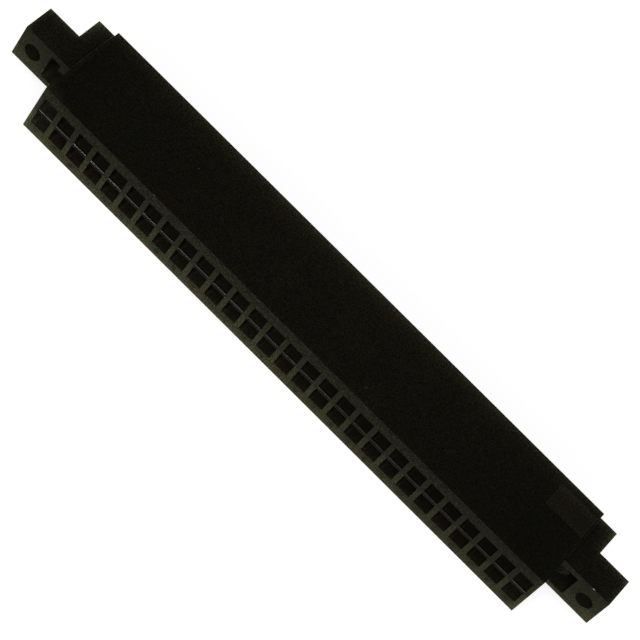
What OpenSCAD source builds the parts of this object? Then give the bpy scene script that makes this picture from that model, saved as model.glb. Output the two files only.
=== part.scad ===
// Card edge connector housing: one moulded insulator with two rows of contact
// cavities, a card slot and two mounting ears. It comes empty of contacts.
// Sizes are in millimetres. X runs along the rows, Y from the wire face (-Y) to
// the card face (+Y) and Z up from the broad underside, which lies at z = 0.

/* [Contact grid] */

// Contact positions in each row
positions = 28; // [6:1:36]
// Spacing of the positions along the row
pitch = 3.9624; // [3.6:0.0001:5.1]
// Width of a cavity at the wire face
cavity_w = 3; // [2:0.01:3.3]
// Height of a cavity at the wire face
cavity_h = 3.12; // [2:0.01:3.6]
// Depth of the full-width part of a cavity
cavity_d = 9.4; // [6:0.1:11]
// Web between the upper and the lower row
divider_t = 0.62; // [0.4:0.01:1.2]
// Chamfer along the web's upper front edge, which leads the contacts in
divider_chamfer = 0.15; // [0.05:0.01:0.3]
// How far the web lies below the middle of the body
divider_drop = 0.09; // [0:0.01:0.5]
// Width of the narrow channel that holds a contact's spring
channel_w = 2.2; // [1.2:0.05:2.8]
// How much lower the channel's outer wall stands than the cavity's
channel_inset = 0.6; // [0.1:0.05:1.2]

/* [Body] */

// Thickness from the underside to the top
body_t = 11.34; // [9.5:0.01:15]
// Depth from the wire face to the card face
body_d = 18.59; // [14:0.01:26]
// Wall beyond the last cavity of a row
end_wall = 0.835; // [0.5:0.005:3]
// How much each end face leans in from the wire face to the card face
end_draft = 0.2; // [0:0.05:0.5]
// Radius of the long edges of the card face
edge_r = 0.1; // [0.05:0.05:1.2]

/* [Card slot] */

// Thickness of the slot that takes the card's edge
slot_t = 1.8; // [1:0.05:2.6]
// Depth of the slot
slot_d = 8.4; // [5:0.1:12]
// Lead-in chamfer around the slot's mouth
slot_lead = 0.55; // [0.2:0.05:0.9]
// Wall that closes the contact channels at the card face
slot_lip = 1.4; // [0.8:0.1:3]

/* [Mounting ears] */

// How far an ear reaches beyond the body
ear_reach = 10.11; // [7:0.01:16]
// Height of an ear
ear_h = 7.75; // [6:0.01:8]
// Depth of an ear
ear_d = 6.12; // [4:0.01:9]
// Distance from the wire face back to the ear
ear_setback = 7; // [3:0.1:10]
// Height of an ear's underside above the body's
ear_lift = 2.46; // [0:0.01:3]
// Diameter of the screw hole
ear_hole = 3.2; // [2.2:0.1:4.5]
// From the ear's end to the middle of the hole
ear_hole_inset = 3.07; // [2.4:0.01:6]
// From the ear's underside up to the middle of the hole
ear_hole_lift = 3.78; // [3:0.01:5]

/* [Shoulders and ear pockets] */

// How far the shoulder behind each ear reaches beyond the body
shoulder_reach = 3.57; // [1:0.01:6]
// How far the shoulder stops short of the card face
shoulder_gap = 0.2; // [0:0.01:2]
// Width of the pocket between an ear's screw boss and the body
pocket_w = 3.9; // [1.5:0.05:5]
// Height of that pocket, which lies level with the screw hole
pocket_h = 5.52; // [3:0.01:6]
// Web that closes the pocket at the back of the ear
pocket_web = 1.2; // [0.6:0.1:3]
// Width of the gate block in the pocket's inner corner
gate_w = 1.8; // [0.6:0.05:2.6]
// Height of the gate block
gate_h = 1.3; // [0.5:0.01:2.5]

/* [Label pad] */

// Length of the pad, which starts near the body's right-hand end
pad_l = 7.9; // [4:0.1:12]
// Width of the pad, front to back
pad_w = 5.1; // [3:0.1:8]
// Depth of the pad below the top face
pad_depth = 0.05; // [0.02:0.01:0.3]
// Distance from the card face to the pad
pad_back = 1.75; // [0.8:0.05:6]
// Distance from the body's end to the pad
pad_end = 0.45; // [0.3:0.05:6]

/* [Hidden] */

// Cuts run past the faces they open on by this much
over = 0.5;
// Segments around a full circle
$fn = 64;

body_l = (positions - 1) * pitch + cavity_w + 2 * end_wall;
body_end = body_l / 2;
wire_y = -body_d / 2;
card_y = body_d / 2;
web_z = body_t / 2 - divider_drop;

ear_front_y = wire_y + ear_setback;
ear_back_y = ear_front_y + ear_d;
ear_hole_z = ear_lift + ear_hole_lift;
ear_end = body_end + ear_reach;
ear_hole_x = ear_end - ear_hole_inset;
shoulder_end = body_end + shoulder_reach;
// Ears and shoulders start this far inside the body's end face
root = end_wall / 2 + end_draft;

slot_l = (positions - 1) * pitch + cavity_w;
web_half = divider_t / 2;

function position_x(i) = (i - (positions - 1) / 2) * pitch;

// Extrudes an outline drawn in Y and Z by the length l along X, centred on x = 0
module along_x(l) {
    rotate([90, 0, 90])
        translate([0, 0, -l / 2])
            linear_extrude(height = l)
                children();
}

module box(x0, x1, y0, y1, z0, z1) {
    translate([x0, y0, z0])
        cube([x1 - x0, y1 - y0, z1 - z0]);
}

// ---- body ----

// Block whose ends lean in towards the card face, with its rear edges rounded
module body_block() {
    card_end = body_end - end_draft;
    intersection() {
        linear_extrude(height = body_t)
            polygon([[-body_end, wire_y], [body_end, wire_y],
                     [card_end, card_y], [-card_end, card_y]]);
        along_x(body_l)
            union() {
                translate([wire_y, 0])
                    square([body_d - edge_r, body_t]);
                translate([wire_y, edge_r])
                    square([body_d, body_t - 2 * edge_r]);
                for (z = [edge_r, body_t - edge_r])
                    translate([card_y - edge_r, z])
                        circle(r = edge_r);
            }
    }
}

// ---- ears ----

// One ear and its shoulder, at the +X end
module ear() {
    box(body_end - root, ear_end, ear_front_y, ear_back_y,
        ear_lift, ear_lift + ear_h);
    box(body_end - root, shoulder_end, ear_back_y - over, card_y - shoulder_gap,
        ear_lift, ear_lift + ear_h);
}

// What is cut from that ear: its screw hole, and the pocket that keeps the walls
// of the root even and leaves the gate block standing in its inner corner
module ear_cuts() {
    pocket_bottom = ear_hole_z - pocket_h / 2;
    pocket_top = ear_hole_z + pocket_h / 2;
    pocket_back = ear_back_y - pocket_web;
    translate([ear_hole_x, ear_front_y - over, ear_hole_z])
        rotate([-90, 0, 0])
            cylinder(d = ear_hole, h = ear_d + 2 * over);
    difference() {
        box(body_end, body_end + pocket_w, ear_front_y - over, pocket_back,
            pocket_bottom, pocket_top);
        box(body_end - over, body_end + gate_w, ear_front_y - 2 * over, ear_back_y,
            pocket_top - gate_h, pocket_top + over);
    }
}

// ---- cavities and card slot ----

// Outline of one upper cavity in Y and Z, measured from the middle of the web
module cavity_outline() {
    translate([wire_y - over, web_half])
        square([over + cavity_d, cavity_h]);
}

// The corner cut from the web's upper front edge where a cavity opens above it
module web_lead_in() {
    cut = divider_chamfer + over;
    polygon([[wire_y - over, web_half + over],
             [wire_y - over, web_half - cut],
             [wire_y + cut, web_half + over]]);
}

// One upper cavity with the narrow channel behind it
module cavity() {
    along_x(cavity_w)
        cavity_outline();
    box(-channel_w / 2, channel_w / 2, wire_y + cavity_d - over, card_y - slot_lip,
        web_half, web_half + cavity_h - channel_inset);
}

module cavity_rows() {
    for (i = [0 : positions - 1])
        translate([position_x(i), 0, web_z]) {
            cavity();
            mirror([0, 0, 1])
                cavity();
            along_x(cavity_w)
                web_lead_in();
        }
}

// The slot and the lead-in chamfers of its mouth
module card_slot() {
    translate([0, 0, web_z])
        along_x(slot_l)
            polygon([[card_y - slot_d, -slot_t / 2],
                     [card_y - slot_lead, -slot_t / 2],
                     [card_y + over, -slot_t / 2 - slot_lead - over],
                     [card_y + over, slot_t / 2 + slot_lead + over],
                     [card_y - slot_lead, slot_t / 2],
                     [card_y - slot_d, slot_t / 2]]);
}

// ---- label pad ----

module label_pad() {
    pad_x = body_end - pad_end - pad_l;
    box(pad_x, pad_x + pad_l, card_y - pad_back - pad_w, card_y - pad_back,
        body_t - pad_depth, body_t + over);
}

// ---- the part ----

module housing() {
    color([0.06, 0.06, 0.05])
        difference() {
            union() {
                body_block();
                ear();
                mirror([1, 0, 0])
                    ear();
            }
            ear_cuts();
            mirror([1, 0, 0])
                ear_cuts();
            cavity_rows();
            card_slot();
            label_pad();
        }
}

housing();
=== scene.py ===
"""Dresses the card edge connector housing: camera, studio, black glass-filled plastic."""

import math
import random

import bmesh
import bpy
from mathutils import Matrix, Vector


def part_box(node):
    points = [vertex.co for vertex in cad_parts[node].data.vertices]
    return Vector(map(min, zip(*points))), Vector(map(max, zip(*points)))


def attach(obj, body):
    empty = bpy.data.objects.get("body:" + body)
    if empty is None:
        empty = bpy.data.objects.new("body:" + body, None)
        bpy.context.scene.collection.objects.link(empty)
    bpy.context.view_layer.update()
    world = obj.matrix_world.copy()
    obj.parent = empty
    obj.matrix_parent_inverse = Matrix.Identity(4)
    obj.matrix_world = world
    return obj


MM = 0.001
SEED = 28

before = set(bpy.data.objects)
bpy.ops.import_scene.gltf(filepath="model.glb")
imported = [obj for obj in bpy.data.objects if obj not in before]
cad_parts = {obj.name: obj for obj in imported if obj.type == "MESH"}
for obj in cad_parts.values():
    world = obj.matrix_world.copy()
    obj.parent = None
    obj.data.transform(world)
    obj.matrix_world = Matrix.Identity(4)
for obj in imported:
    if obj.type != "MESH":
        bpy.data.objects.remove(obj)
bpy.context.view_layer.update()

# ---- view of the camera, in millimetres and degrees ----

CAMERA_TARGET = (0.87, 0.82, 5.67)
CAMERA_DISTANCE = 472.4
CAMERA_AZIMUTH = 4.23
CAMERA_ELEVATION = 52.09
CAMERA_ROLL = 41.46
CAMERA_LENS = 163.7
SENSOR_WIDTH = 36.0

# ---- lamps ----

# Name, azimuth, elevation, distance, width and height in metres, power and colour
LAMPS = (("front", 4, 9, 1.2, 1.4, 0.30, 13.5, (1.0, 0.99, 0.96)),
         ("over", 2, 62, 1.3, 0.6, 0.6, 1.1, (1.0, 0.97, 1.0)),
         ("window", -12.8, 37, 1.3, 0.10, 0.10, 0.55, (0.80, 0.93, 1.0)),
         ("back", 176, 30, 1.4, 1.2, 0.4, 2.0, (1.0, 1.0, 1.0)))

# ---- sizes of the housing that the details follow, in millimetres ----

POSITIONS = 28
PITCH = 3.9624
CAVITY_W = 3.0
END_WALL = 0.835
END_DRAFT = 0.2
WEB_LOW = 5.27
WEB_HIGH = 5.89
WEB_CHAMFER = 0.15
BODY_END = ((POSITIONS - 1) * PITCH + CAVITY_W) / 2 + END_WALL
WIRE_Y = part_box("housing")[0][1] / MM
CARD_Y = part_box("housing")[1][1] / MM
BODY_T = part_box("housing")[1][2] / MM
EAR_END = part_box("housing")[1][0] / MM
EAR_FRONT_Y = WIRE_Y + 7.0
EAR_BACK_Y = EAR_FRONT_Y + 6.12
EAR_LIFT = 2.46
SHOULDER_END = BODY_END + 3.57
PAD_X = (BODY_END - 8.43, BODY_END - 0.37)
PAD_Y = (CARD_Y - 6.93, CARD_Y - 1.67)

# ---- helpers ----


def vec_mm(x, y, z):
    return Vector((x, y, z)) * MM


def position_x(i):
    """Middle of a column of cavities, counted from zero at the left."""
    return (i - (POSITIONS - 1) / 2) * PITCH


def direction(azimuth, elevation):
    """Unit vector from the object towards a place: azimuth 0 is -Y, positive goes to +X."""
    a = math.radians(azimuth)
    e = math.radians(elevation)
    return Vector((math.sin(a) * math.cos(e), -math.cos(a) * math.cos(e), math.sin(e)))


def look(towards, roll=0.0):
    """Rotation of a camera or lamp that looks along the given vector."""
    turn = towards.to_track_quat("-Z", "Y").to_matrix().to_4x4()
    return turn @ Matrix.Rotation(math.radians(roll), 4, "Z")


def link(obj):
    bpy.context.scene.collection.objects.link(obj)
    return obj


def mesh_piece(name, verts, faces, materials, picks=()):
    """One piece of the object, from vertices in millimetres."""
    mesh = bpy.data.meshes.new(name)
    mesh.from_pydata([vec_mm(*v) for v in verts], [], faces)
    for mat in materials:
        mesh.materials.append(mat)
    for i, pick in enumerate(picks):
        mesh.polygons[i].material_index = pick
    mesh.update()
    piece = link(bpy.data.objects.new(name, mesh))
    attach(piece, "root")
    return piece


def face_outwards(piece):
    """Turns every face of a closed piece outwards."""
    work = bmesh.new()
    work.from_mesh(piece.data)
    bmesh.ops.recalc_face_normals(work, faces=work.faces)
    work.to_mesh(piece.data)
    work.free()


# ---- camera and lamps ----


def make_camera():
    data = bpy.data.cameras.new("camera")
    data.lens = CAMERA_LENS
    data.sensor_width = SENSOR_WIDTH
    data.clip_start = 0.01
    data.clip_end = 20.0
    cam = link(bpy.data.objects.new("camera", data))
    away = direction(CAMERA_AZIMUTH, CAMERA_ELEVATION)
    place = vec_mm(*CAMERA_TARGET) + away * CAMERA_DISTANCE * MM
    cam.matrix_world = Matrix.Translation(place) @ look(-away, CAMERA_ROLL)
    bpy.context.scene.camera = cam


def area_lamp(name, azimuth, elevation, distance, width, height, power, colour):
    data = bpy.data.lights.new(name, "AREA")
    data.shape = "RECTANGLE"
    data.size = width
    data.size_y = height
    data.energy = power
    data.color = colour
    lamp = link(bpy.data.objects.new(name, data))
    away = direction(azimuth, elevation)
    lamp.matrix_world = Matrix.Translation(away * distance) @ look(-away)


def make_lamps():
    for lamp in LAMPS:
        area_lamp(*lamp)


# ---- building nodes of a material ----

GRAIN_SIZE = 0.14
GRAIN_STRENGTH = 0.72
GRAIN_CHROMA = (0.42, 0.30, 0.62)
# The grains are drawn out a little along the moulding's depth and height
GRAIN_STRETCH = (1.0, 0.8, 0.62)
# Specular level of the moulded plastic, which has next to no gloss
SHEEN = 0.03


class Nodes:
    """Short calls for making a material's nodes. Values may be numbers or sockets, and
    x, y and z are in millimetres."""

    def __init__(self, name):
        self.mat = bpy.data.materials.new(name)
        self.mat.use_nodes = True
        self.tree = self.mat.node_tree
        self.shader = self.tree.nodes["Principled BSDF"]
        coords = self.add("ShaderNodeTexCoord")
        self.place = coords.outputs["Object"]
        split = self.add("ShaderNodeSeparateXYZ")
        self.set(split.inputs[0], self.place)
        self.x = self.over(split.outputs["X"], MM)
        self.y = self.over(split.outputs["Y"], MM)
        self.z = self.over(split.outputs["Z"], MM)
        self.off_middle = self.unsigned(self.x)
        facing = self.add("ShaderNodeSeparateXYZ")
        self.set(facing.inputs[0], coords.outputs["Normal"])
        self.up = facing.outputs["Z"]
        self.sideways = self.unsigned(facing.outputs["X"])

    def add(self, kind, **settings):
        node = self.tree.nodes.new(kind)
        for name, value in settings.items():
            setattr(node, name, value)
        return node

    def set(self, socket, value):
        if isinstance(value, bpy.types.NodeSocket):
            self.tree.links.new(value, socket)
        else:
            socket.default_value = value

    def maths(self, operation, a, b=0.0):
        node = self.add("ShaderNodeMath", operation=operation)
        self.set(node.inputs[0], a)
        self.set(node.inputs[1], b)
        return node.outputs[0]

    def plus(self, a, b):
        return self.maths("ADD", a, b)

    def minus(self, a, b):
        return self.maths("SUBTRACT", a, b)

    def both(self, *values):
        """Product of two or more masks or levels."""
        total = values[0]
        for value in values[1:]:
            total = self.maths("MULTIPLY", total, value)
        return total

    def over(self, a, b):
        return self.maths("DIVIDE", a, b)

    def unsigned(self, a):
        return self.maths("ABSOLUTE", a)

    def fade(self, value, start, end, low=0.0, high=1.0):
        """Runs from low to high while the value goes from start to end."""
        node = self.add("ShaderNodeMapRange", interpolation_type="SMOOTHSTEP")
        for name, number in (("From Min", start), ("From Max", end)):
            self.set(node.inputs[name], number)
        for name, number in (("To Min", low), ("To Max", high)):
            self.set(node.inputs[name], number)
        self.set(node.inputs["Value"], value)
        return node.outputs["Result"]

    def band(self, value, start, end, soft):
        """One between start and end, zero outside them."""
        rise = self.fade(value, start - soft, start + soft)
        return self.both(rise, self.fade(value, end - soft, end + soft, 1.0, 0.0))

    def between(self, share, a, b):
        node = self.add("ShaderNodeMix", data_type="FLOAT")
        self.set(node.inputs[0], share)
        self.set(node.inputs[2], a)
        self.set(node.inputs[3], b)
        return node.outputs[0]

    def lift(self, level, mask, gain):
        """The level, multiplied by gain where the mask is one."""
        return self.both(level, self.between(mask, 1.0, gain))

    def ramp(self, value, table):
        """A level read from pairs of value and level."""
        first = table[0][0]
        span = table[-1][0] - first
        peak = max(level for at, level in table)
        node = self.add("ShaderNodeValToRGB")
        points = node.color_ramp.elements
        points[1].position = 1.0
        for at, level in table[1:-1]:
            points.new((at - first) / span)
        for point, (at, level) in zip(points, table):
            point.color = (level / peak, level / peak, level / peak, 1)
        self.set(node.inputs["Fac"], self.over(self.minus(value, first), span))
        return self.both(node.outputs["Color"], peak)

    def noise(self, size, detail=2.0, rough=0.5, place=None):
        """Noise whose grains are about the given number of millimetres across."""
        node = self.add("ShaderNodeTexNoise")
        self.set(node.inputs["Vector"], place or self.place)
        self.set(node.inputs["Scale"], 1.0 / (size * MM))
        self.set(node.inputs["Detail"], detail)
        self.set(node.inputs["Roughness"], rough)
        return node

    def vary(self, size, detail, low, high, start=0.3, end=0.7):
        """A value that wanders between low and high from place to place."""
        return self.fade(self.noise(size, detail).outputs["Fac"], start, end, low, high)

    def times(self, a, b):
        return self.mix_nodes("MULTIPLY", 1.0, a, b)

    def mix(self, share, a, b):
        return self.mix_nodes("MIX", share, a, b)

    def mix_nodes(self, kind, share, a, b):
        node = self.add("ShaderNodeMixRGB", blend_type=kind)
        self.set(node.inputs["Fac"], share)
        self.set(node.inputs["Color1"], a)
        self.set(node.inputs["Color2"], b)
        return node.outputs[0]

    def grain(self, size=GRAIN_SIZE, strength=GRAIN_STRENGTH, chroma=GRAIN_CHROMA):
        """A factor near one that differs from grain to grain, a little also in hue."""
        drawn_out = self.add("ShaderNodeVectorMath", operation="MULTIPLY")
        self.set(drawn_out.inputs[0], self.place)
        self.set(drawn_out.inputs[1], GRAIN_STRETCH)
        speckle = self.noise(size, 1.0, 0.5, drawn_out.outputs[0])
        grey = self.fade(speckle.outputs["Fac"], 0.4, 0.6, 1 - strength, 1 + strength)
        hue = self.noise(size * 1.3, 0.0, 0.5, drawn_out.outputs[0])
        split = self.add("ShaderNodeSeparateColor")
        self.set(split.inputs[0], hue.outputs["Color"])
        join = self.add("ShaderNodeCombineColor")
        for i in range(3):
            tint = self.fade(split.outputs[i], 0.35, 0.65, 1 - chroma[i], 1 + chroma[i])
            self.set(join.inputs[i], self.both(tint, grey))
        return join.outputs[0]

    def bump(self, depth, size, detail=3.0, rough=0.5):
        """Relief of the given depth and grain in millimetres."""
        node = self.add("ShaderNodeBump")
        self.set(node.inputs["Strength"], 1.0)
        self.set(node.inputs["Distance"], depth * MM)
        self.set(node.inputs["Height"], self.noise(size, detail, rough).outputs["Fac"])
        self.set(self.shader.inputs["Normal"], node.outputs["Normal"])

    def finish(self, colour, roughness, specular=SHEEN):
        self.set(self.shader.inputs["Base Color"], colour)
        self.set(self.shader.inputs["Roughness"], roughness)
        self.set(self.shader.inputs["Specular IOR Level"], specular)
        return self.mat


# ---- floor and world ----

# The floor shows as this white by itself; its own light under the lamps adds the
# rest, so that only the object's shadow falls below white
FLOOR_GLOW = 0.77
FLOOR_COLOUR = (0.85, 0.85, 0.85, 1)
FLOOR_HALF = 2.0
WORLD_STRENGTH = 0.18


def floor_material():
    t = Nodes("floor")
    paper = t.add("ShaderNodeBsdfDiffuse")
    t.set(paper.inputs["Color"], FLOOR_COLOUR)
    path = t.add("ShaderNodeLightPath")
    seen = t.maths("MAXIMUM", path.outputs["Is Camera Ray"], path.outputs["Is Glossy Ray"])
    seen = t.maths("MAXIMUM", seen, path.outputs["Is Transmission Ray"])
    glow = t.add("ShaderNodeEmission")
    t.set(glow.inputs["Strength"], t.both(seen, FLOOR_GLOW))
    total = t.add("ShaderNodeAddShader")
    t.set(total.inputs[0], paper.outputs[0])
    t.set(total.inputs[1], glow.outputs[0])
    t.set(t.tree.nodes["Material Output"].inputs["Surface"], total.outputs[0])
    return t.mat


def make_floor():
    mesh = bpy.data.meshes.new("floor")
    signs = ((-1, -1), (1, -1), (1, 1), (-1, 1))
    mesh.from_pydata([(a * FLOOR_HALF, b * FLOOR_HALF, 0) for a, b in signs], [], [(0, 1, 2, 3)])
    mesh.materials.append(floor_material())
    link(bpy.data.objects.new("floor", mesh))


def make_world():
    world = bpy.data.worlds.new("studio")
    world.use_nodes = True
    back = world.node_tree.nodes["Background"]
    back.inputs["Color"].default_value = (1, 1, 1, 1)
    back.inputs["Strength"].default_value = WORLD_STRENGTH
    bpy.context.scene.world = world


# ---- the moulding's plastic ----

PLASTIC = (0.0334, 0.0342, 0.0166, 1)
# PLASTIC_TOP, PLASTIC_INSIDE and PLASTIC_POCKET are copies of the plastic, toned as painted light
# on the tops and painted light and shade in the hollows
PLASTIC_TOP = (0.0380, 0.0363, 0.0199, 1)
PLASTIC_INSIDE = (0.0450, 0.0395, 0.0250, 1)
# The ears' pockets and holes and the first cavity are less brown
PLASTIC_POCKET = (0.0420, 0.0405, 0.0275, 1)
FIRST_CAVITY_END = -51.9
PLASTIC_ROUGH = (0.45, 0.6)
# The whole moulding is a little uneven, over stretches of about a centimetre
CLOUD_SIZE = 9.0
CLOUD_LEVELS = (0.93, 1.07)
# Heights between which one look gives way to another: the tops start above the hollows,
# the margins lie over and under the cavities, and inside the hollows the upper row and
# the lower floors have levels of their own
TOPS_FROM = (9.8, 10.0)
HOLLOWS_TO = (9.7, 9.6)
UPPER_MARGIN_FROM = (9.0, 9.1)
LOWER_MARGIN_TO = (2.3, 2.2)
UPPER_ROW_FROM = (5.7, 5.8)
LOWER_FLOORS_TO = (3.4, 3.2)
# Level of the colour by height: painted light makes the lower half of the faces lighter,
# with a step where the mould parts
BY_HEIGHT = ((0.0, 1.17), (0.7, 1.12), (1.6, 0.84), (2.6, 0.88), (3.7, 0.81), (4.5, 0.69),
             (5.36, 0.66), (5.43, 0.49), (5.50, 0.475), (5.60, 0.45), (8.0, 0.40),
             (9.4, 0.307), (11.2, 0.286), (11.34, 0.286))
# Level of the outer faces along the object: the walls fade a little to the right; painted
# light lifts the body's ends, where glare spreads over their edges, and the ears beside the
# body, where the body's shadow falls
FACE_BY_LENGTH = ((-66.0, 1.06), (-62.0, 0.95), (-60.3, 0.95), (-59.0, 1.08), (-57.5, 1.15),
                  (-56.8, 1.15), (-55.9, 1.28), (-55.8, 1.9), (-55.3, 1.6), (-55.0, 1.08),
                  (-51.0, 1.04), (-44.0, 0.95), (-36.0, 0.99), (-20.0, 1.02), (-4.0, 1.07),
                  (3.0, 0.96), (12.0, 0.88), (28.0, 0.83), (44.0, 0.77), (49.0, 0.80),
                  (52.0, 0.86), (54.0, 0.86), (55.0, 0.95), (55.3, 1.4), (55.8, 1.5),
                  (55.9, 1.6), (57.5, 1.40), (59.0, 1.0), (61.0, 0.88), (63.0, 1.05),
                  (66.0, 1.5))
# Level of the tops of the body, the ears and the shoulders along the object
TOP_BY_LENGTH = ((-66.0, 1.05), (-65.5, 1.05), (-65.1, 0.84), (-64.9, 0.83), (-64.5, 0.95),
                 (-64.0, 1.05), (-63.5, 1.22), (-60.0, 1.15), (-57.5, 1.08), (-56.0, 0.98),
                 (-55.0, 0.69), (-52.0, 0.74), (-48.0, 0.79), (-43.0, 0.88), (-25.0, 0.91),
                 (0.0, 1.01), (10.0, 1.0), (20.0, 0.95), (30.0, 0.87), (43.0, 0.73),
                 (55.0, 0.71), (57.0, 0.86), (60.0, 0.90), (62.0, 0.91), (64.0, 1.02),
                 (66.0, 1.25))
# Level of those tops from the wire face to the card face: painted light that grows towards
# the card face's edge, where glare spreads over it
TOP_BY_DEPTH = ((-9.3, 1.10), (-8.3, 0.99), (2.0, 1.0), (4.5, 1.08), (6.0, 1.17), (7.0, 1.43),
                (8.1, 1.98), (8.3, 2.28), (8.6, 2.95), (8.75, 3.5), (8.95, 3.4), (9.3, 3.3))
# Painted light and shade inside the hollows along the object: the first cavity is lightest,
# and the left ear's pocket is lighter towards its outer side
HOLLOW_BY_LENGTH = ((-66.0, 0.85), (-60.0, 0.85), (-59.7, 1.6), (-59.1, 1.35), (-58.6, 0.8),
                    (-58.2, 0.78), (-57.8, 1.0), (-56.0, 1.1), (-55.0, 3.1), (-54.5, 1.8),
                    (-54.0, 1.4), (-53.0, 1.25), (-51.9, 1.2), (-51.7, 0.97), (-20.0, 0.98),
                    (0.0, 1.01), (20.0, 0.99), (50.0, 0.99), (55.0, 1.4), (56.2, 1.0),
                    (57.0, 0.74), (57.9, 0.68), (58.4, 0.60), (59.0, 0.95), (59.7, 0.9),
                    (60.3, 0.95), (66.0, 0.95))
# Level inside the cavities across each one, from its left to its right wall: painted light
# that lifts the shadow of the left wall
HOLLOW_ACROSS = ((-1.6, 1.0), (-1.3, 1.05), (-0.95, 1.55), (-0.6, 1.0), (0.0, 1.05),
                 (0.5, 1.05), (1.0, 1.12), (1.6, 1.4))
# Level inside the upper cavities by distance behind the wire face: painted light and shade
# that evens out how the lamps reach into them
UPPER_ROW_BY_DEPTH = ((0.0, 0.95), (0.65, 0.92), (0.95, 0.88), (1.3, 0.88), (1.7, 0.98),
                      (2.1, 1.15), (3.0, 1.2))
# Painted light in every hollow above the web's height, and painted shade near the lower
# cavities' floors
ABOVE_WEB_LEVEL = 1.12
FLOOR_LEVEL = 0.62
# Level of the cavities' side walls: painted shade that takes back the light the lamps throw
# on them
SIDE_SHADE_LEVEL = 0.40
# Level inside the ears' pockets and holes by height: painted light that lifts their shaded
# upper part
POCKET_BY_HEIGHT = ((2.4, 1.0), (4.2, 0.88), (5.4, 0.82), (6.5, 1.02), (7.2, 1.3), (8.0, 1.75),
                    (9.6, 2.0))
# Level below the cavities by height: darker below each cavity, and painted shade along the
# cavity's lower edge
BELOW_CAVITIES = ((0.0, 0.97), (0.6, 0.94), (1.0, 0.90), (1.4, 0.86), (1.85, 0.85), (2.0, 0.72),
                  (2.08, 0.45), (2.3, 0.45))
# The painted shade line at the top of that margin lies a little higher towards the left: x
# of two places, and what is added to z at each
BELOW_LEAN = (-45.0, 45.0, -0.08, 0.05)
# The dark line over each cavity
OVER_CAVITY_Z = (8.8, 9.1)
OVER_CAVITY_LEVEL = 0.38
# The lines over the walls between the cavities, by distance from a cavity's middle
WALL_LINE_X = (0.46 * PITCH, 0.49 * PITCH)
WALL_LINE_Z = (9.2, 11.2)
WALL_LINE_LEVEL = 1.15
# Strength of the coarser mottling of the upper margin
FACE_MOTTLE = 0.6
# Level of the tops by distance from the ears' outer and rear edges and from the shoulders'
# ends: painted light, as glare spreads in over those edges
RIM_OUTER = ((0.0, 3.0), (0.25, 2.4), (0.55, 1.75), (0.85, 1.4), (1.15, 1.15), (1.6, 1.0))
RIM_REAR = ((0.0, 3.8), (0.25, 3.1), (0.55, 2.3), (0.85, 1.75), (1.15, 1.4), (1.6, 1.15),
            (2.3, 1.0))
RIM_SHOULDER = ((0.0, 4.0), (0.25, 3.3), (0.55, 2.4), (0.85, 1.9), (1.15, 1.45), (1.6, 1.2),
                (2.2, 1.05), (3.6, 0.95))
EAR_TOP_LEVEL = 1.03
# Level of the pad from front to back, and of the strip along its left edge
PAD_BY_DEPTH = ((2.0, 2.5), (2.7, 2.45), (3.2, 2.05), (4.5, 1.7), (5.5, 1.67), (6.5, 1.85),
                (7.1, 1.95), (7.7, 2.2))
PAD_BRINK_W = 0.2
PAD_BRINK_LEVEL = 1.4
# The lighter front left corner of the top: its reach along and behind the wire face
CORNER_REACH = (6.2, 3.0)
CORNER_LEVEL = 2.8
# The painted highlights along the ends of the top: their distances from the middle on the
# top itself and on the ear, how much farther out the left and the right one on the ear lie,
# the share of the line on the top, how much fainter the right-hand one on the ear is, and
# the level of both
BESIDE_REACH = (BODY_END - 0.45, BODY_END - 0.31)
MEETING_REACH = (BODY_END - 0.05, BODY_END + 0.15)
MEETING_SHIFT = (0.3, 0.15)
BESIDE_SHARE = 0.36
RIGHT_SHARE = 0.7
END_HIGHLIGHT_LEVEL = 3.2
# How softly the fine lines and the strip at the pad's edge end
LINE_SOFT = 0.03
# A faint line across the top
CROSS_LINE_X = (-7.86, -7.76)
CROSS_LINE_Y = (-3.5, 7.0)
CROSS_LINE_LEVEL = 1.7
# Share of the grain's strength that is lost inside the hollows
GRAIN_CALM_INSIDE = 0.5
# Small light spots, of grit and glass, the last being a painted glint on the right ear's top
# front edge: middle, half-width along x, radius across, and grey
SPECKS_AND_GLINT = (((-30.0, 0.93, BODY_T), 0.14, 0.14, 0.060),
          ((14.1, -6.67, BODY_T), 0.11, 0.11, 0.105),
          ((-0.9, 4.93, BODY_T), 0.55, 0.22, 0.018),
          ((-31.4, WIRE_Y, BODY_T), 0.30, 0.12, 0.055),
          ((62.45, EAR_FRONT_Y, 10.15), 0.22, 0.10, 0.300))


def speck(t, middle, along, across):
    """One inside a small flat spot, zero outside it."""
    total = 0.0
    for value, at, reach in zip((t.x, t.y, t.z), middle, (along, across, across)):
        share = t.over(t.minus(value, at), reach)
        total = t.plus(total, t.both(share, share))
    return t.fade(total, 0.5, 1.3, 1.0, 0.0)


def top_faces(t):
    """The tops of the body, the ears and the shoulders."""
    return t.both(t.fade(t.up, 0.5, 0.7), t.fade(t.z, *TOPS_FROM))


def wire_face(t):
    return t.fade(t.y, WIRE_Y + 0.02, WIRE_Y + 0.01)


def within_body(t):
    return t.fade(t.off_middle, BODY_END - 0.4, BODY_END - 0.5)


def behind_faces(t, front, back):
    """One between two faces, a little behind the first and in front of the second."""
    return t.both(t.fade(t.y, front + 0.05, front + 0.15), t.fade(t.y, back - 0.05, back - 0.15))


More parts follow.
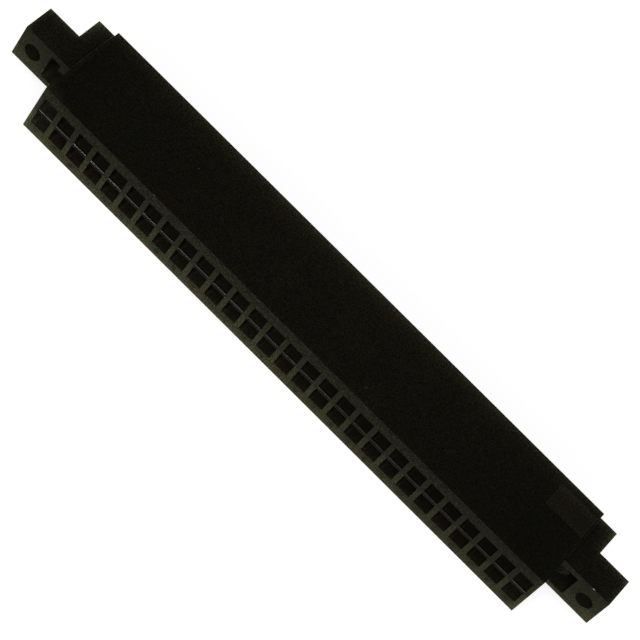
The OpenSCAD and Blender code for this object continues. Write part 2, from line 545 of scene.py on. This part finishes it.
def inside(t):
    """The walls of the cavities and of the ears' holes and pockets: everything between
    the outer faces, which stay out of it."""
    body = t.both(within_body(t), behind_faces(t, WIRE_Y, CARD_Y), t.fade(t.z, 0.1, 0.2))
    ear = t.both(t.band(t.off_middle, BODY_END, EAR_END - 0.15, 0.05),
                 behind_faces(t, EAR_FRONT_Y, EAR_BACK_Y),
                 t.fade(t.z, EAR_LIFT + 0.1, EAR_LIFT + 0.2))
    return t.both(t.maths("MAXIMUM", body, ear), t.fade(t.z, *HOLLOWS_TO))


def across_cavity(t):
    """Distance from the middle of the nearest column, negative to its left."""
    share = t.maths("FRACT", t.plus(t.over(t.x, PITCH), POSITIONS * 2.0))
    return t.both(t.minus(share, 0.5), PITCH)


def columns(t):
    """One across the width of every cavity, zero on the walls between them and beyond."""
    half = CAVITY_W / 2
    cavity = t.fade(t.unsigned(across_cavity(t)), half - 0.08, half + 0.08, 1.0, 0.0)
    return t.both(cavity, t.fade(t.off_middle, BODY_END - 0.8, BODY_END - 0.9))


def over_cavities(t):
    """A fine line along the lower edge of the upper margin, over each cavity. It is a
    little wider towards the left end."""
    height = t.minus(t.z, t.fade(t.x, -25.0, -10.0, 0.1, 0.0))
    return t.both(columns(t), t.band(height, *OVER_CAVITY_Z, 0.02))


def over_walls(t):
    """Fine lines in the upper margin where the walls between the cavities end."""
    near = t.fade(t.unsigned(across_cavity(t)), *WALL_LINE_X)
    return t.both(near, t.band(t.z, *WALL_LINE_Z, 0.05))


def face_shades(t):
    """Lighter and darker marks and painted shade on the wire face: pairs of mask and level."""
    front = wire_face(t)
    below = t.both(front, columns(t), t.fade(t.z, *LOWER_MARGIN_TO))
    height = t.plus(t.z, t.fade(t.x, *BELOW_LEAN))
    mottle = t.vary(0.2, 1.0, 1 - FACE_MOTTLE, 1 + FACE_MOTTLE, 0.42, 0.58)
    return [(below, t.ramp(height, BELOW_CAVITIES)),
            (t.both(front, over_cavities(t)), OVER_CAVITY_LEVEL),
            (t.both(front, over_walls(t)), WALL_LINE_LEVEL),
            (t.both(front, t.fade(t.z, *UPPER_MARGIN_FROM)), mottle)]


def rims(t):
    """Painted light of glare on the outer and rear edges of the ears' tops and the shoulders."""
    outer = t.ramp(t.minus(EAR_END, t.off_middle), RIM_OUTER)
    rear = t.ramp(t.minus(EAR_BACK_Y, t.y), RIM_REAR)
    rear = t.between(t.fade(t.off_middle, SHOULDER_END - 0.6, SHOULDER_END), 1.0, rear)
    side = t.ramp(t.minus(SHOULDER_END, t.off_middle), RIM_SHOULDER)
    behind = t.fade(t.y, EAR_BACK_Y - 0.1, EAR_BACK_Y + 0.1)
    return t.between(behind, t.both(outer, rear), side)


def front_corner(t):
    """The lighter corner of the top at the left end of the wire face."""
    reach = t.plus(t.over(t.plus(t.x, BODY_END), CORNER_REACH[0]),
                   t.over(t.minus(t.y, WIRE_Y), CORNER_REACH[1]))
    return t.fade(reach, 0.0, 1.2, 1.0, 0.0)


def end_highlights(t):
    """Two fine painted highlights along each end of the top: one on the top beside its edge,
    and one on the ear and the shoulder close to where they meet the end face."""
    lean = t.both(t.minus(t.y, WIRE_Y), END_DRAFT / (CARD_Y - WIRE_Y))
    reach = t.plus(t.off_middle, lean)
    beside = t.both(t.band(reach, *BESIDE_REACH, LINE_SOFT),
                    t.fade(t.z, BODY_T - 0.1, BODY_T - 0.05), BESIDE_SHARE)
    reach = t.minus(reach, t.fade(t.x, -1.0, 1.0, *MEETING_SHIFT))
    meeting = t.both(t.band(reach, *MEETING_REACH, LINE_SOFT),
                     t.fade(t.z, BODY_T - 0.6, BODY_T - 0.7),
                     t.fade(t.y, EAR_FRONT_Y, EAR_FRONT_Y + 1.2),
                     t.fade(t.x, -1.0, 1.0, 1.0, RIGHT_SHARE))
    broken = t.vary(0.7, 2.0, 0.5, 1.0, 0.36, 0.5)
    return t.both(t.plus(beside, meeting), t.fade(t.y, -7.0, -3.0, 0.4, 1.0), broken)


def top_shades(t, top):
    """Marks, painted glare and painted highlights on the tops: pairs of mask and level."""
    pad = t.both(top, t.band(t.x, *PAD_X, 0.05), t.band(t.y, *PAD_Y, 0.05))
    brink = t.both(pad, t.band(t.x, PAD_X[0], PAD_X[0] + PAD_BRINK_W, LINE_SOFT))
    ears = t.both(top, t.fade(t.off_middle, BODY_END + 0.1, BODY_END + 0.3))
    line = t.both(top, t.band(t.x, *CROSS_LINE_X, LINE_SOFT), t.band(t.y, *CROSS_LINE_Y, 0.5))
    return [(top, t.ramp(t.y, TOP_BY_DEPTH)),
            (pad, t.ramp(t.y, PAD_BY_DEPTH)),
            (brink, PAD_BRINK_LEVEL),
            (ears, EAR_TOP_LEVEL),
            (ears, rims(t)),
            (t.both(top, front_corner(t)), CORNER_LEVEL),
            (t.both(top, end_highlights(t)), END_HIGHLIGHT_LEVEL),
            (line, CROSS_LINE_LEVEL)]


def hollow_shades(t, hollow):
    """Painted light and shade inside the hollows: pairs of mask and level."""
    body = within_body(t)
    cavity = t.both(hollow, body)
    pocket = t.both(hollow, t.minus(1.0, body))
    upper = t.fade(t.z, *UPPER_ROW_FROM)
    return [(hollow, t.ramp(t.x, HOLLOW_BY_LENGTH)),
            (t.both(hollow, upper), ABOVE_WEB_LEVEL),
            (t.both(hollow, t.fade(t.z, *LOWER_FLOORS_TO)), FLOOR_LEVEL),
            (cavity, t.ramp(across_cavity(t), HOLLOW_ACROSS)),
            (t.both(cavity, t.fade(t.sideways, 0.9, 0.95)), SIDE_SHADE_LEVEL),
            (t.both(cavity, upper), t.ramp(t.minus(t.y, WIRE_Y), UPPER_ROW_BY_DEPTH)),
            (pocket, t.ramp(t.z, POCKET_BY_HEIGHT))]


def plastic():
    t = Nodes("black_plastic")
    top = top_faces(t)
    hollow = inside(t)
    along = t.between(top, t.ramp(t.x, FACE_BY_LENGTH), t.ramp(t.x, TOP_BY_LENGTH))
    level = t.both(t.ramp(t.z, BY_HEIGHT), along, t.vary(CLOUD_SIZE, 2.0, *CLOUD_LEVELS))
    for mask, gain in face_shades(t) + top_shades(t, top) + hollow_shades(t, hollow):
        level = t.lift(level, mask, gain)
    browner = t.band(t.x, FIRST_CAVITY_END, BODY_END - 0.45, 0.05)
    outer = t.mix(top, PLASTIC, PLASTIC_TOP)
    inner = t.mix(browner, PLASTIC_POCKET, PLASTIC_INSIDE)
    colour = t.times(t.mix(hollow, outer, inner), level)
    calm = t.both(hollow, GRAIN_CALM_INSIDE)
    colour = t.times(colour, t.mix(calm, t.grain(), (1, 1, 1, 1)))
    for middle, along_x, across, grey in SPECKS_AND_GLINT:
        colour = t.mix(speck(t, middle, along_x, across), colour, (grey, grey, grey * 0.95, 1))
    t.bump(0.01, 0.25, 3.0, 0.6)
    return t.finish(colour, t.vary(0.5, 3.0, *PLASTIC_ROUGH))


def dress_housing():
    mat = plastic()
    for slot in bpy.data.objects["housing"].material_slots:
        slot.material = mat


# ---- the web between the rows, seen along its front edge ----

WEB_PROUD = 0.006
WEB_SIDE = CAVITY_W / 2 - 0.01
# How far the skin reaches back over the web and under it, and how deep it lies in it
WEB_REACH_TOP = 0.50
WEB_REACH_BELOW = 0.30
WEB_SUNK = 0.05
# How far the skin's corners at the chamfer stand off sideways, as a share of WEB_PROUD
WEB_MITRE = 0.41
# How far below the chamfer the skin's back turns towards the top of the web
WEB_TURN = 0.08
# Level of the web's face along the object, below and above its middle
WEB_LOWER = ((-54.0, 0.10), (-25.0, 0.15), (0.0, 0.28), (54.0, 0.26))
WEB_UPPER = ((-54.0, 0.12), (-25.0, 0.15), (0.0, 0.20), (25.0, 0.09), (54.0, 0.06))
# Level of the skin behind the chamfer, along the object: a painted highlight makes it
# brightest in the first cavity
WEB_TOP = ((-55.0, 1.0), (-52.0, 0.95), (-51.6, 0.33), (-20.0, 0.34), (-16.0, 0.42),
           (18.0, 0.40), (24.0, 0.33), (55.0, 0.36))
# Level of the dark line along the foot of the web's face, and the skin's roughness
WEB_FOOT_LEVEL = 0.35
WEB_ROUGH = (0.4, 0.55)
# The lead-in's colour and level, lighter and bluer than the plastic, are a painted highlight over
# the gloss that the lamps light
LEAD_COLOUR = (0.036, 0.040, 0.034, 1)
LEAD_LEVEL = 0.40
LEAD_ROUGH = (0.2, 0.3)
LEAD_SHEEN = 0.5
# Share of the chamfer, from its upper edge, that the contacts have polished, how much it
# differs between cavities, and how far that part is bent out of the chamfer's plane
POLISHED_SHARE = 0.78
POLISHED_SPREAD = 0.08
POLISHED_LEAN = (-0.003, 0.005)
# Level of the lead-in's painted highlight along the object
LEAD_BY_LENGTH = ((-54.0, 1.0), (-22.0, 0.9), (-18.0, 0.55), (-9.0, 0.45), (-6.0, 0.65),
                  (0.0, 0.78), (12.0, 0.52), (25.0, 0.55), (42.0, 0.8), (48.0, 1.35), (54.0, 2.5))
# Factor of its roughness: some of the cavities left of the middle are duller
LEAD_DULLNESS = ((-54.0, 1.0), (-51.8, 1.0), (-51.4, 2.0), (-47.8, 2.0), (-47.4, 1.05),
                 (-43.6, 0.95), (-35.9, 0.95), (-35.5, 1.55), (-31.9, 1.55), (-31.5, 1.1),
                 (-20.0, 1.1), (-19.6, 1.35), (-8.2, 1.35), (-7.8, 1.0), (54.0, 1.0))


def web_outline(rng):
    """Y back from the wire face and height, along the web's front edge from inside the
    upper cavity, over its chamfer and down to the lower cavity, and back through the web."""
    high = (WEB_CHAMFER - WEB_MITRE * WEB_PROUD, WEB_HIGH + WEB_PROUD)
    low = (-WEB_PROUD, WEB_HIGH - WEB_CHAMFER + WEB_MITRE * WEB_PROUD)
    share = POLISHED_SHARE + rng.uniform(-POLISHED_SPREAD, POLISHED_SPREAD)
    lean = rng.uniform(*POLISHED_LEAN)
    split = [h + (l - h) * share for h, l in zip(high, low)]
    outer = [(WEB_REACH_TOP, WEB_HIGH + WEB_PROUD),
             high,
             (split[0] - lean, split[1] + lean),
             low,
             (-WEB_PROUD, WEB_LOW - WEB_PROUD),
             (WEB_REACH_BELOW, WEB_LOW - WEB_PROUD)]
    inner = [(WEB_REACH_BELOW, WEB_LOW + WEB_SUNK),
             (2 * WEB_SUNK, WEB_LOW + WEB_SUNK),
             (2 * WEB_SUNK, WEB_HIGH - WEB_CHAMFER - WEB_TURN),
             (WEB_REACH_TOP, WEB_HIGH - WEB_SUNK)]
    return outer + inner


def web_edges():
    """A thin skin over the front edge of the web in every cavity, closed inside the web."""
    rng = random.Random(SEED)
    verts = []
    faces = []
    picks = []
    for i in range(POSITIONS):
        outline = web_outline(rng)
        count = len(outline)
        start = len(verts)
        for side in (-WEB_SIDE, WEB_SIDE):
            verts += [(position_x(i) + side, WIRE_Y + back, z) for back, z in outline]
        for k in range(count):
            n = (k + 1) % count
            faces.append((start + k, start + n, start + count + n, start + count + k))
            picks.append(1 if k == 1 else 0)
        faces.append(tuple(start + k for k in reversed(range(count))))
        faces.append(tuple(start + count + k for k in range(count)))
        picks += [0, 0]
    mesh_piece("web_edges", verts, faces, [web_band(), lead_in()], picks)


def web_band():
    t = Nodes("web_plastic")
    middle = (WEB_LOW + WEB_HIGH - WEB_CHAMFER) / 2
    above = t.fade(t.z, middle - 0.03, middle + 0.03)
    level = t.between(above, t.ramp(t.x, WEB_LOWER), t.ramp(t.x, WEB_UPPER))
    level = t.between(t.fade(t.up, 0.9, 0.95), level, t.ramp(t.x, WEB_TOP))
    level = t.both(level, t.fade(t.z, WEB_LOW + 0.04, WEB_LOW + 0.1, WEB_FOOT_LEVEL, 1.0))
    colour = t.times(t.times(PLASTIC, level), t.grain())
    t.bump(0.01, 0.25)
    return t.finish(colour, t.vary(0.5, 3.0, *WEB_ROUGH))


def lead_in():
    """Polished by the mould's blades and by the contacts pushed in over it, for its gloss; its
    lighter, bluer colour is a painted highlight.
    """
    t = Nodes("polished_lead_in_painted_highlight")
    level = t.vary(1.2, 2.0, LEAD_LEVEL * 0.7, LEAD_LEVEL * 1.3)
    colour = t.times(LEAD_COLOUR, t.both(level, t.ramp(t.x, LEAD_BY_LENGTH)))
    rough = t.both(t.vary(0.6, 2.0, *LEAD_ROUGH), t.ramp(t.x, LEAD_DULLNESS))
    return t.finish(colour, rough, LEAD_SHEEN)


# ---- numbers of the positions, moulded on both margins ----

# Width of a digit in numbers of one and of two digits
NUMBER_W = (0.62, 0.36)
NUMBER_GAP = 0.14
NUMBER_STROKE = 0.15
NUMBER_PROUD = 0.012
# How deep the strokes' feet lie in the wire face, and their width at the top
NUMBER_SUNK = 0.01
NUMBER_TOP_SHARE = 0.6
# Lowest point and height of the numbers on the lower and on the upper margin
NUMBER_ROWS = ((0.72, 0.85), (9.78, 1.10))
# Levels of the numbers' colour, painted light and shade of their relief: the lower ones of
# one and of two digits, and the feet and the heads of the upper ones
NUMBER_LOW = (0.12, 0.36)
NUMBER_HIGH = (0.47, 0.11)
NUMBER_HEADS_FROM = (10.25, 10.45)
NUMBER_ROUGH = 0.55
# Strokes of each digit between corners of a frame one wide and two high
CORNERS = {"A": (0, 2), "B": (1, 2), "C": (0, 1), "D": (1, 1), "E": (0, 0), "F": (1, 0),
           "G": (0.5, 2), "H": (0.5, 0)}
DIGITS = {"0": ("AB", "BF", "FE", "EA"), "1": ("GH",), "2": ("AB", "BD", "DC", "CE", "EF"),
          "3": ("AB", "BF", "FE", "CD"), "4": ("AC", "CD", "BF"),
          "5": ("BA", "AC", "CD", "DF", "FE"), "6": ("BA", "AE", "EF", "FD", "DC"),
          "7": ("AB", "BE"), "8": ("AB", "BF", "FE", "EA", "CD"),
          "9": ("DC", "CA", "AB", "BF", "FE")}


def stroke(verts, faces, start, end):
    """One raised stroke on the wire face, with a sloping flank all round."""
    along = (end - start).normalized() * NUMBER_STROKE / 2
    across = Vector((-along.y, along.x))
    first = len(verts)
    for share, y in ((1.0, WIRE_Y + NUMBER_SUNK), (NUMBER_TOP_SHARE, WIRE_Y - NUMBER_PROUD)):
        for point, sign in ((start, -1), (end, 1)):
            for turn in (-1, 1):
                at = point + (along + across * turn) * sign * share
                verts.append((at.x, y, at.y))
    low = list(range(first, first + 4))
    top = list(range(first + 4, first + 8))
    faces.append(tuple(top))
    for k in range(4):
        n = (k + 1) % 4
        faces.append((low[k], low[n], top[n], top[k]))
    faces.append(tuple(reversed(low)))


def number_at(verts, faces, text, x, z, height):
    """Adds the strokes of one number, whose lowest point is z, centred on x."""
    wide = NUMBER_W[len(text) - 1]
    width = len(text) * wide + (len(text) - 1) * NUMBER_GAP
    for k, digit in enumerate(text):
        left = x - width / 2 + k * (wide + NUMBER_GAP)
        for pair in DIGITS[digit]:
            ends = [Vector((left + CORNERS[c][0] * wide, z + CORNERS[c][1] * height / 2))
                    for c in pair]
            stroke(verts, faces, *ends)


def position_numbers():
    verts = []
    faces = []
    for i in range(POSITIONS):
        for z, height in NUMBER_ROWS:
            number_at(verts, faces, str(i + 1), position_x(i), z, height)
    face_outwards(mesh_piece("position_numbers", verts, faces, [number_plastic()]))


def number_plastic():
    t = Nodes("number_plastic")
    # The numbers' levels paint the shade and light of their relief
    after_nine = position_x(8.5)
    low = t.fade(t.x, after_nine - 0.5, after_nine + 0.5, *NUMBER_LOW)
    high = t.fade(t.z, *NUMBER_HEADS_FROM, *NUMBER_HIGH)
    level = t.between(t.fade(t.z, WEB_LOW, WEB_HIGH), low, high)
    colour = t.times(t.times(PLASTIC, level), t.grain(0.3, 0.5))
    t.bump(0.01, 0.2)
    return t.finish(colour, NUMBER_ROUGH)


# ---- broken gate on the right-hand ear ----

GATE_X = (55.95, 57.95)
GATE_Z = (6.95, 8.85)
GATE_CELLS = 14
GATE_ROW = GATE_CELLS + 1
GATE_BACK = 0.35
# Unevenness of the grid inside the break and along its rim
GATE_JAG = (0.03, 0.09)
# How far the break stands out at least, what the tearing adds, and the share of that in
# its whole upper corner
GATE_PROUD = 0.04
GATE_TEAR = (0.02, 0.28)
GATE_WHOLE_SHARE = 0.25
# The lower right corner is missing: from this share of the width on, up to this height
GATE_CUT_FROM = 0.7
GATE_CUT_HEIGHT = 0.8
GATE_FACE_LEVEL = 0.28
TORN_ROUGH = 0.5
TORN_DARK = (0.0075, 0.0076, 0.0060, 1)
TORN_GLINT = (0.037, 0.040, 0.033, 1)


def torn_relief(u, v, rng):
    """How far the break stands out: least along its rim and in its whole upper corner."""
    rim = min(u, v, 1 - u, 1 - v)
    torn = 1.0 if u + v * 1.4 < 1.4 else GATE_WHOLE_SHARE
    return GATE_PROUD + min(rim * 8, 1) * torn * rng.uniform(*GATE_TEAR)


def gate_point(u, v, back, rng):
    """One vertex of the break's front, or of the back that closes it inside the block."""
    jag = GATE_JAG[1] if min(u, v, 1 - u, 1 - v) < 0.01 else GATE_JAG[0]
    corner = max(0.0, u - GATE_CUT_FROM) / (1 - GATE_CUT_FROM) * (1 - v) * GATE_CUT_HEIGHT
    x = GATE_X[0] + u * (GATE_X[1] - GATE_X[0]) + rng.uniform(-jag, jag)
    z = GATE_Z[0] + v * (GATE_Z[1] - GATE_Z[0]) + corner + rng.uniform(-jag, jag)
    front = EAR_FRONT_Y - torn_relief(u, v, rng)
    return (x, EAR_FRONT_Y + GATE_BACK if back else front, z)


def gate_faces():
    """Front and back grids of the break, and the strip that joins their rims."""
    faces = []
    half = GATE_ROW * GATE_ROW
    for j in range(GATE_CELLS):
        for i in range(GATE_CELLS):
            k = j * GATE_ROW + i
            quad = (k, k + 1, k + GATE_ROW + 1, k + GATE_ROW)
            faces.append(quad)
            faces.append(tuple(half + quad[n] for n in (0, 3, 2, 1)))
    rim = list(range(GATE_CELLS))
    rim += [j * GATE_ROW + GATE_CELLS for j in range(GATE_CELLS)]
    rim += [GATE_CELLS * GATE_ROW + i for i in range(GATE_CELLS, 0, -1)]
    rim += [j * GATE_ROW for j in range(GATE_CELLS, 0, -1)]
    for a, b in zip(rim, rim[1:] + rim[:1]):
        faces.append((a, half + a, half + b, b))
    return faces


def gate_break():
    """Torn plastic where the gate was snapped off, over the block in the ear's pocket."""
    rng = random.Random(SEED + 1)
    verts = [gate_point(i / GATE_CELLS, j / GATE_CELLS, back, rng)
             for back in (False, True) for j in range(GATE_ROW) for i in range(GATE_ROW)]
    face_outwards(mesh_piece("gate_break", verts, gate_faces(), [torn_plastic()]))


def torn_plastic():
    """The face's own colour in the upper corner, dark torn plastic with glints below it."""
    t = Nodes("torn_plastic")
    across = t.over(t.minus(t.x, GATE_X[0]), GATE_X[1] - GATE_X[0])
    down = t.over(t.minus(GATE_Z[1] + 0.2, t.z), 1.4)
    whole = t.plus(t.minus(across, down), t.vary(0.7, 3.0, -0.35, 0.35))
    glints = t.fade(t.noise(0.28, 2.0, 0.6).outputs["Fac"], 0.56, 0.64)
    face = [GATE_FACE_LEVEL * value for value in PLASTIC[:3]] + [1]
    colour = t.mix(t.fade(whole, -0.08, 0.08), t.mix(glints, TORN_DARK, TORN_GLINT), face)
    colour = t.times(colour, t.grain())
    t.bump(0.03, 0.2, 4.0, 0.7)
    return t.finish(colour, TORN_ROUGH)


# ---- the scene ----

make_camera()
make_lamps()
make_floor()
make_world()
dress_housing()
web_edges()
position_numbers()
gate_break()

bpy.context.scene.view_settings.view_transform = "Standard"
